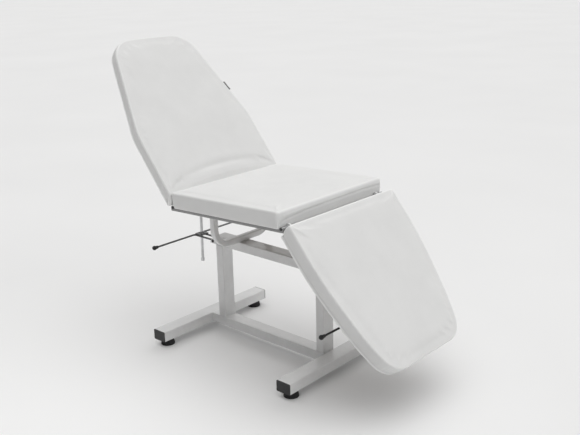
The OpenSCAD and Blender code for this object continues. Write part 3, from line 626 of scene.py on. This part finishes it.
def back_roll(co, normals, height):
    """The roll of loose cover that the seat pushes up at the backrest's lower end."""
    # Full at the middle and gone at the sides; the fold above the roll arches with it
    across = np.clip(1.0 - (co[:, 1] / ROLL_HALF) ** 2, 0.0, 1.0)
    fold = 0.050 + 0.056 * across ** 0.75
    crest = 0.046 + 0.030 * across
    face = np.clip(normals[:, 2] * 1.6, 0.0, 1.0)
    past = co[:, 0] - fold
    swell = height * across * groove(co[:, 0], crest, 0.024)
    crease = 0.0026 * across * groove(past, 0.006, 0.014)
    wrinkle = 0.0006 * across * groove(past, -0.019 - 0.010 * across, 0.006)
    ridge = 0.0012 * across * groove(past, 0.034, 0.022)
    move = np.zeros_like(co)
    move[:, 2] = face * (swell - crease - wrinkle + ridge)
    return move


def front_crease(co, normals):
    """The rolled upper band of the seat's front and the soft crease below it."""
    # The crease climbs from the near corner and levels off; it fades out at both corners
    front = np.clip(normals[:, 0] * 1.5 - 0.3, 0.0, 1.0)
    share = np.clip((co[:, 1] + 0.299) / 0.598, 0.0, 1.0)
    level = np.interp(share, [0.0, 0.06, 0.25, 0.8, 0.95, 1.0],
                      [0.018, 0.028, 0.036, 0.040, 0.036, 0.032])
    above = (np.clip((co[:, 2] - level) / 0.012, 0.0, 1.0)
             * np.clip((0.058 - co[:, 2]) / 0.012, 0.0, 1.0))
    fade = np.clip(share / 0.05, 0.0, 1.0) * np.clip((1.0 - share) / 0.04, 0.0, 1.0)
    move = np.zeros_like(co)
    move[:, 0] = front * fade * (0.0022 * above - 0.0016 * groove(co[:, 2], level, 0.0035))
    return move


def open_underside(obj, low, lip):
    """Takes the hidden underside out of the seat's cover, up to a lip round its edge."""
    bm = bmesh.new()
    bm.from_mesh(obj.data)
    gone = [f for f in bm.faces
            if max(v.co.z for v in f.verts) < low + 0.003
            and max(abs(v.co.y) for v in f.verts) < SEAT_HALF - lip
            and min(v.co.x for v in f.verts) > SEAT_START + lip
            and max(v.co.x for v in f.verts) < SEAT_END - lip]
    bmesh.ops.delete(bm, geom=gone, context="FACES")
    bm.to_mesh(obj.data)
    bm.free()
    obj.data.update()


class CHAIR_OT_finish_frame(bpy.types.Operator):
    """Give every piece of the frame its finish"""

    bl_idname = "chair.finish_frame"
    bl_label = "Finish the Frame"

    def execute(self, context):
        make_finishes()
        slots = {s["node"]: s["material_slot"] for s in frame["record"]["subparts"]}
        for name, obj in frame["nodes"].items():
            # The seat's frame takes the darker copy of the paint, as painted shade
            finish = FINISHES["painted_shade_paint" if name == "seat_frame" else slots[name]]
            if not obj.material_slots:
                obj.data.materials.append(finish)
            for place in obj.material_slots:
                place.material = finish
        return {"FINISHED"}


class CHAIR_OT_seat_cushion(bpy.types.Operator):
    """Make the seat's padded cushion and its cover"""

    bl_idname = "chair.seat_cushion"
    bl_label = "Seat Cushion"

    def execute(self, context):
        s = context.scene.cushion_sizes
        rings = cushion_rings(seat_outline, SEAT_FOOT, SEAT_TOP, s.edge, draw=0.003,
                              crown=s.crown, middle=HINGE_PITCH / 2)
        obj = ring_shell("seat_cover", rings, "vinyl")
        settle_cover(obj, SEAT_TOP - HELD_UNDER_FACE)
        raise_edge(obj, s.welt)
        fit_cover(obj, (SEAT_START, -SEAT_HALF, SEAT_FOOT),
                  (SEAT_END, SEAT_HALF, SEAT_TOP + s.crown))
        dress_sides(obj, seam_level=0.0030, seam_depth=0.0009, reach=0.03,
                    ripples=[(SEAT_END, SEAT_HALF, 0.035, 9.0, 0.0007),
                             (SEAT_START, SEAT_HALF, 0.035, 9.0, 0.0007)])
        co = coordinates(obj.data)
        set_coordinates(obj.data, co + front_crease(co, vertex_normals(obj.data)))
        open_underside(obj, SEAT_FOOT, lip=0.0085)
        place_panel(obj, SEAT_PLACE)
        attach(obj, "stand")
        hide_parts("seat_cushion")
        return {"FINISHED"}


class CHAIR_OT_backrest_cushion(bpy.types.Operator):
    """Make the backrest's cushion, with the roll that meets the seat"""

    bl_idname = "chair.backrest_cushion"
    bl_label = "Backrest Cushion"

    def execute(self, context):
        s = context.scene.cushion_sizes
        rings = cushion_rings(back_outline, BACK_FOOT, BACK_FACE, s.edge, draw=0.003,
                              crown=s.crown, middle=0.40)
        obj = ring_shell("backrest_cover", rings, "vinyl")
        settle_cover(obj, BACK_FACE - HELD_UNDER_FACE)
        raise_edge(obj, s.welt)
        fit_cover(obj, (back_low(BACK_FOOT), -BACK_HALF, BACK_FOOT),
                  (BACK_REACH + BACK_BOW, BACK_HALF, BACK_FACE + s.crown))
        dress_sides(obj, seam_level=0.0065, seam_depth=0.0012, reach=0.05,
                    ripples=[(BACK_REACH - 0.03, BACK_TOP_HALF - 0.03, 0.09, 22.0, 0.0006),
                             (0.03, BACK_HALF, 0.07, 8.0, 0.0022)])
        co = coordinates(obj.data)
        set_coordinates(obj.data, co + back_roll(co, vertex_normals(obj.data), s.roll))
        place_panel(obj, BACK_PLACE)
        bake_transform(obj)
        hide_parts("backrest_cushion")
        return {"FINISHED"}


class CHAIR_OT_legrest_cushion(bpy.types.Operator):
    """Make the leg rest's cushion and its cover"""

    bl_idname = "chair.legrest_cushion"
    bl_label = "Leg Rest Cushion"

    def execute(self, context):
        s = context.scene.cushion_sizes
        rings = cushion_rings(leg_outline, LEG_FOOT, LEG_FACE, s.edge, draw=0.006,
                              crown=s.crown, middle=0.31)
        obj = ring_shell("legrest_cover", rings, "vinyl")
        settle_cover(obj, LEG_FACE - HELD_UNDER_FACE)
        raise_edge(obj, s.welt)
        fit_cover(obj, (LEG_START - LEG_LIP, -LEG_HALF, LEG_FOOT),
                  (LEG_REACH, LEG_HALF, LEG_FACE + s.crown))
        dress_sides(obj, seam_level=0.0010, seam_depth=0.0013, reach=0.05,
                    ripples=[(LEG_REACH - 0.03, LEG_END_HALF - 0.03, 0.09, 22.0, 0.0007)])
        place_panel(obj, LEG_PLACE)
        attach(obj, "legrest")
        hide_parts("legrest_cushion")
        return {"FINISHED"}


# Rows across a hem: inset from the outline and height over the board's face; the inner rows'
# insets are shares of the hem's width
HEM_START = ((0.0036, 0.009), (0.0034, 0.0006), (0.0048, -0.0011))
HEM_DROPS = ((0.5, -0.0014), (1.0, -0.0011), (1.0, -0.0002))
HEM_PLEAT, PLEAT_TURN, PLEAT_RISE = 0.0011, 190.0, 0.15
# A staple's bent wire: shares of its half width, and heights over its crown
STAPLE_HALF, STAPLE_WIRE, STAPLE_EVERY, STAPLE_SIDES = 0.0055, 0.0005, 0.042, 6
STAPLE_PATH = ((-1.0, 0.0012), (-1.0, 0.0), (-0.8, -0.0008), (0.8, -0.0008), (1.0, 0.0),
               (1.0, 0.0012))
STAPLE_DROP, STAPLE_INSET = 0.0016, 0.62


def hem_mesh(name, points, hem, face, matrix, body):
    """The cover's edge, turned under a board and pleated at the bends."""
    n = len(points)
    rows = HEM_START + tuple((hem * share, drop) for share, drop in HEM_DROPS)
    co, faces = [], []
    run = np.cumsum(np.hypot(*(np.roll(points[:, :2], -1, 0) - points[:, :2]).T))
    for depth, drop in rows:
        for i, p in enumerate(points):
            wave = HEM_PLEAT * math.sin(run[i] * PLEAT_TURN) * (depth / hem) * (drop < 0)
            co.append((p[0] - (depth + wave) * p[2], p[1] - (depth + wave) * p[3],
                       face + drop - PLEAT_RISE * abs(wave)))
    for j in range(len(rows) - 1):
        for i in range(n):
            k = (i + 1) % n
            faces.append((j * n + i, (j + 1) * n + i, (j + 1) * n + k, j * n + k))
    obj = mesh_object(name, co, faces, "vinyl")
    place_panel(obj, matrix)
    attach(obj, body)
    return obj


def staple_mesh(name, points, inset, face, matrix, body):
    """Wire staples that hold the turned-under cover."""
    co, faces, sides = [], [], STAPLE_SIDES
    run = np.concatenate([[0], np.cumsum(np.hypot(*np.diff(points[:, :2], axis=0).T))])
    for d in np.arange(STAPLE_EVERY / 2, run[-1], STAPLE_EVERY):
        i = int(np.searchsorted(run, d)) - 1
        p = points[max(0, i)]
        x, y = p[0] - inset * p[2], p[1] - inset * p[3]
        tx, ty = -p[3], p[2]
        base = len(co)
        for share, drop in STAPLE_PATH:
            a = share * STAPLE_HALF
            for q in range(sides):
                t = math.tau * q / sides
                r, z = STAPLE_WIRE * math.cos(t), STAPLE_WIRE * math.sin(t)
                co.append((x + tx * a + p[2] * r, y + ty * a + p[3] * r,
                           face - STAPLE_DROP + drop + z))
        for j in range(len(STAPLE_PATH) - 1):
            low, high = base + j * sides, base + (j + 1) * sides
            for q in range(sides):
                k = (q + 1) % sides
                faces.append((low + q, low + k, high + k, high + q))
        faces.append(tuple(base + q for q in range(sides)))
        faces.append(tuple(base + (len(STAPLE_PATH) - 1) * sides + q for q in range(sides))[::-1])
    obj = mesh_object(name, co, faces, "zinc")
    place_panel(obj, matrix)
    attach(obj, body)
    return obj


class CHAIR_OT_turned_hems(bpy.types.Operator):
    """Turn the covers under the boards and staple them"""

    bl_idname = "chair.turned_hems"
    bl_label = "Turned Hems"

    def execute(self, context):
        hem = context.scene.cushion_sizes.hem
        panels = (("seat", seat_outline, 0.0036, SEAT_PLACE, "stand"),
                  ("backrest", back_outline, -0.0057, BACK_PLACE, "backrest"),
                  ("legrest", leg_outline, -0.0120, LEG_PLACE, "legrest"))
        for name, make, face, matrix, body in panels:
            points = make(face)
            hem_mesh(name + "_hem", points, hem, face, matrix, body)
            staple_mesh(name + "_staples", points, hem * STAPLE_INSET, face, matrix, body)
        return {"FINISHED"}


# The tab: how far up the backrest it is sewn, its level in the side, half its length, how far it
# stands out, half its thickness and how deep it is sewn in
TAB_UP, TAB_LEVEL, TAB_HALF = 0.464, 0.034, 0.022
TAB_OUT, TAB_THICK, TAB_SEWN = 0.0105, 0.0009, 0.002
TAB_COLUMNS, TAB_SWAY = 13, 0.0006


class CHAIR_OT_sewn_tab(bpy.types.Operator):
    """Add the blank fabric tab sewn into the backrest's far side"""

    bl_idname = "chair.sewn_tab"
    bl_label = "Sewn Tab"

    def execute(self, context):
        points = back_outline(TAB_LEVEL)
        far = points[points[:, 1] < 0]
        x, y, nx, ny = far[np.argmin(np.abs(far[:, 0] - TAB_UP))]
        tx, ty = -ny, nx
        out, thick = TAB_OUT, TAB_THICK
        co, faces, columns = [], [], TAB_COLUMNS
        profile = [(-TAB_SEWN, -thick), (out * 0.6, -thick * 1.1), (out, -thick * 0.7),
                   (out + 0.0006, 0), (out, thick * 0.7), (out * 0.6, thick * 1.1),
                   (-TAB_SEWN, thick)]
        for c in range(columns):
            a = -TAB_HALF + 2 * TAB_HALF * c / (columns - 1)
            sway = TAB_SWAY * math.sin(c * 0.9)
            for d, h in profile:
                co.append((x + tx * a + nx * (d - 0.0012), y + ty * a + ny * (d - 0.0012),
                           TAB_LEVEL + h + sway))
        rows = len(profile)
        for c in range(columns - 1):
            for r in range(rows):
                q = (r + 1) % rows
                faces.append((c * rows + r, c * rows + q, (c + 1) * rows + q, (c + 1) * rows + r))
        faces.append(tuple(range(rows))[::-1])
        faces.append(tuple((columns - 1) * rows + r for r in range(rows)))
        obj = mesh_object("blank_side_tab", co, faces, "tab")
        place_panel(obj, BACK_PLACE)
        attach(obj, "backrest")
        return {"FINISHED"}


# Weld beads: radius, pitch of the ripples, their height and the taper of a bead's ends
WELD_RADIUS, WELD_PITCH, WELD_RIPPLE, WELD_END = 0.0016, 0.004, 0.14, 0.35


def bead(path, name, body):
    """A weld bead: a low ridge of overlapping ripples along a path of points."""
    path = [Vector(p) for p in path]
    stations = []
    for a, b in zip(path, path[1:]):
        steps = max(2, int((b - a).length / (WELD_PITCH / 3)))
        stations += [(a.lerp(b, k / steps), (b - a).normalized()) for k in range(steps)]
    stations.append((path[-1], (path[-1] - path[-2]).normalized()))
    co, faces, sides = [], [], 8
    for i, (p, d) in enumerate(stations):
        up = Vector((0, 0, 1)) if abs(d.z) < 0.9 else Vector((1, 0, 0))
        a = d.cross(up).normalized()
        b = d.cross(a)
        end = WELD_END if i in (0, len(stations) - 1) else 1.0
        r = WELD_RADIUS * end * (1.0 + WELD_RIPPLE * math.sin(i * math.tau / 3))
        for q in range(sides):
            t = math.tau * q / sides
            co.append(p + a * (r * math.cos(t)) + b * (r * math.sin(t)))
    for i in range(len(stations) - 1):
        for q in range(sides):
            k = (q + 1) % sides
            faces.append((i * sides + q, i * sides + k, (i + 1) * sides + k, (i + 1) * sides + q))
    faces.append(tuple(range(sides))[::-1])
    faces.append(tuple((len(stations) - 1) * sides + q for q in range(sides)))
    obj = mesh_object(name, co, faces, "paint")
    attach(obj, body)
    return obj


class CHAIR_OT_weld_beads(bpy.types.Operator):
    """Lay the weld beads where the stand's tubes meet"""

    bl_idname = "chair.weld_beads"
    bl_label = "Weld Beads"

    def execute(self, context):
        for post in ("rear_post", "front_post"):
            low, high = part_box(post)
            for level, place in ((low.z, "foot"), (high.z, "head")):
                for x in (low.x, high.x):
                    bead([(x, low.y + 0.004, level), (x, high.y - 0.004, level)],
                         f"{post}_{place}_weld_{'rear' if x == low.x else 'front'}", "stand")
        for rail_end, foot in ((0, "rear_foot_tube"), (1, "front_foot_tube")):
            low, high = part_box("lower_rail")
            x = high.x if rail_end else low.x
            for y in (low.y, high.y):
                bead([(x, y, low.z + 0.003), (x, y, high.z - 0.003)],
                     f"{foot}_weld_{'near' if y == low.y else 'far'}", "stand")
        for bracket in ("rear_seat_bracket", "front_seat_bracket"):
            low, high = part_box(bracket)
            for x in (low.x, high.x):
                bead([(x, -0.026, low.z), (x, 0.026, low.z)],
                     f"{bracket}_weld_{'rear' if x == low.x else 'front'}", "stand")
        return {"FINISHED"}


# The glows besides the overhead one: where the backdrop lies, how closely each gathers, and how
# bright the plain air looks behind the floor
BACKDROP_FROM = (-0.67, 0.74, 0.05)
WINDOW_NARROW, BACKDROP_NARROW = 3.0, 1.0
AIR_SEEN = 0.79
# The photograph's viewpoint: place in metres, then turn, tip and roll in degrees
CAMERA_PLACE = (2.18587, -2.31235, 1.55278)
CAMERA_TURN, CAMERA_TIP, CAMERA_ROLL = 42.306, 17.225, -1.371
FLOOR_STEPS, FLOOR_REACH = 64, 80.0
FILL_SHARE = 0.35


def studio_air(low, glows):
    """A world that is dim all round and brightens softly toward a few places."""
    world = bpy.data.worlds.new("studio_air")
    world.use_nodes = True
    nodes, links = world.node_tree.nodes, world.node_tree.links
    air = nodes["Background"]
    air.inputs["Color"].default_value = (1.0, 0.998, 0.994, 1)
    where = nodes.new("ShaderNodeTexCoord")
    total = None
    for strength, place, narrow in glows:
        facing = nodes.new("ShaderNodeVectorMath")
        facing.operation = "DOT_PRODUCT"
        facing.inputs[1].default_value = Vector(place).normalized()
        links.new(where.outputs["Generated"], facing.inputs[0])
        toward = nodes.new("ShaderNodeMath")
        toward.operation = "MAXIMUM"
        toward.inputs[1].default_value = 0.0
        links.new(facing.outputs["Value"], toward.inputs[0])
        gathered = nodes.new("ShaderNodeMath")
        gathered.operation = "POWER"
        gathered.inputs[1].default_value = narrow
        links.new(toward.outputs["Value"], gathered.inputs[0])
        added = nodes.new("ShaderNodeMath")
        added.operation = "MULTIPLY_ADD"
        added.inputs[1].default_value = strength
        added.inputs[2].default_value = low
        links.new(gathered.outputs["Value"], added.inputs[0])
        if total is not None:
            links.new(total, added.inputs[2])
        total = added.outputs["Value"]
    # Seen directly, the air has one even tone, so no edge shows where the floor ends
    seen = nodes.new("ShaderNodeLightPath")
    swap = nodes.new("ShaderNodeMix")
    swap.inputs["B"].default_value = AIR_SEEN
    links.new(seen.outputs["Is Camera Ray"], swap.inputs["Factor"])
    links.new(total, swap.inputs["A"])
    links.new(swap.outputs["Result"], air.inputs["Strength"])
    return world


def floor_material(colour):
    """Matt studio paper, faintly clouded, with a painted pool of light that makes it paler round the chair."""
    mat, nodes, links, shader, where = material("studio_floor")
    cloud = noise(nodes, links, where, scale=0.8, detail=2.0, rough=0.5)
    # Painted light: a round pool of paler colour round the chair, which lightens the shade that the chair casts on
    # the floor
    shift = nodes.new("ShaderNodeMapping")
    shift.inputs["Location"].default_value = (0.07, 0.33, 0.0)
    shift.inputs["Scale"].default_value = (0.66, 0.66, 0.66)
    links.new(where, shift.inputs["Vector"])
    painted_light_pool = nodes.new("ShaderNodeTexGradient")
    painted_light_pool.gradient_type = "SPHERICAL"
    links.new(shift.outputs["Vector"], painted_light_pool.inputs["Vector"])
    paper = nodes.new("ShaderNodeMixRGB")
    paper.inputs["Color2"].default_value = (*shade(colour, 1.15), 1)
    links.new(painted_light_pool.outputs["Fac"], paper.inputs["Fac"])
    links.new(ramp(nodes, links, cloud, low=shade(colour, 0.985), high=shade(colour, 1.01)),
              paper.inputs["Color1"])
    links.new(paper.outputs["Color"], shader.inputs["Base Color"])
    shader.inputs["Roughness"].default_value = 0.7
    shader.inputs["Specular IOR Level"].default_value = 0.2
    return mat


def area_lamp(name, place, target, size, power):
    """A round soft light, turned toward a target."""
    data = bpy.data.lights.new(name, "AREA")
    data.shape = "DISK"
    data.size = size
    data.energy = power
    lamp = bpy.data.objects.new(name, data)
    bpy.context.scene.collection.objects.link(lamp)
    lamp.location = place
    toward = Vector(target) - Vector(place)
    lamp.rotation_euler = toward.to_track_quat("-Z", "Y").to_euler()


def photograph_camera(lens):
    """The camera at the photograph's viewpoint."""
    turn, tip, roll = (math.radians(a) for a in (CAMERA_TURN, CAMERA_TIP, CAMERA_ROLL))
    back = Vector((math.sin(turn) * math.cos(tip), -math.cos(turn) * math.cos(tip),
                   math.sin(tip)))
    right = Vector((math.cos(turn), math.sin(turn), 0))
    up = back.cross(right)
    c, n = math.cos(roll), math.sin(roll)
    turned = Matrix((c * right + n * up, -n * right + c * up, back)).transposed().to_4x4()
    data = bpy.data.cameras.new("photograph_view")
    data.lens = lens
    data.sensor_width = 36.0
    data.sensor_fit = "HORIZONTAL"
    data.dof.use_dof = False
    camera = bpy.data.objects.new("photograph_view", data)
    bpy.context.scene.collection.objects.link(camera)
    camera.matrix_world = Matrix.Translation(CAMERA_PLACE) @ turned
    return camera


class CHAIR_OT_stage(bpy.types.Operator):
    """Set up the pale studio floor, the soft light and the camera"""

    bl_idname = "chair.stage"
    bl_label = "Stage"

    def execute(self, context):
        s = context.scene.stage_settings
        scene = context.scene
        FINISHES["floor"] = floor_material(s.floor)
        ring = [(FLOOR_REACH * math.cos(math.tau * k / FLOOR_STEPS),
                 FLOOR_REACH * math.sin(math.tau * k / FLOOR_STEPS), 0)
                for k in range(FLOOR_STEPS)]
        floor = mesh_object("studio_floor", ring, [tuple(range(FLOOR_STEPS))], "floor", False)
        scene.world = studio_air(s.low_light, (
            (s.overhead, tuple(s.overhead_from), s.narrow),
            (s.window, tuple(s.window_from), WINDOW_NARROW),
            (s.backdrop, BACKDROP_FROM, BACKDROP_NARROW)))
        area_lamp("overhead_softbox", (0.6, 1.6, 3.6), (0.1, 0.0, 0.5), 2.6, s.key)
        area_lamp("front_fill", (3.6, 1.4, 1.9), (0.2, 0, 0.6), 1.8, s.key * FILL_SHARE)
        scene.camera = photograph_camera(s.lens)
        scene.view_settings.view_transform = "Standard"
        return {"FINISHED"}


class CHAIR_PT_panel(bpy.types.Panel):
    """The chair's pieces and settings"""

    bl_idname = "CHAIR_PT_panel"
    bl_label = "Podiatry Chair"
    bl_space_type = "VIEW_3D"
    bl_region_type = "UI"
    bl_category = "Chair"

    def draw(self, context):
        layout = self.layout
        for group in (context.scene.cushion_sizes, context.scene.chair_finishes,
                      context.scene.stage_settings):
            box = layout.box()
            for name in group.__class__.__annotations__:
                box.prop(group, name)
        for operator in OPERATORS:
            layout.operator(operator.bl_idname)


GROUPS = (CushionSizes, ChairFinishes, StageSettings)
OPERATORS = (CHAIR_OT_finish_frame, CHAIR_OT_seat_cushion, CHAIR_OT_backrest_cushion,
             CHAIR_OT_legrest_cushion, CHAIR_OT_turned_hems, CHAIR_OT_sewn_tab,
             CHAIR_OT_weld_beads, CHAIR_OT_stage)


def register():
    """Registers the settings, the operators and the panel."""
    for cls in GROUPS + OPERATORS + (CHAIR_PT_panel,):
        bpy.utils.register_class(cls)
    bpy.types.Scene.cushion_sizes = PointerProperty(type=CushionSizes)
    bpy.types.Scene.chair_finishes = PointerProperty(type=ChairFinishes)
    bpy.types.Scene.stage_settings = PointerProperty(type=StageSettings)


def unregister():
    """Takes away what register added."""
    del bpy.types.Scene.stage_settings
    del bpy.types.Scene.chair_finishes
    del bpy.types.Scene.cushion_sizes
    for cls in (CHAIR_PT_panel,) + OPERATORS[::-1] + GROUPS[::-1]:
        bpy.utils.unregister_class(cls)


def main():
    """Registers the add-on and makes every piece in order."""
    register()
    for operator in OPERATORS:
        group, name = operator.bl_idname.split(".")
        getattr(getattr(bpy.ops, group), name)()


if __name__ == "__main__":
    main()
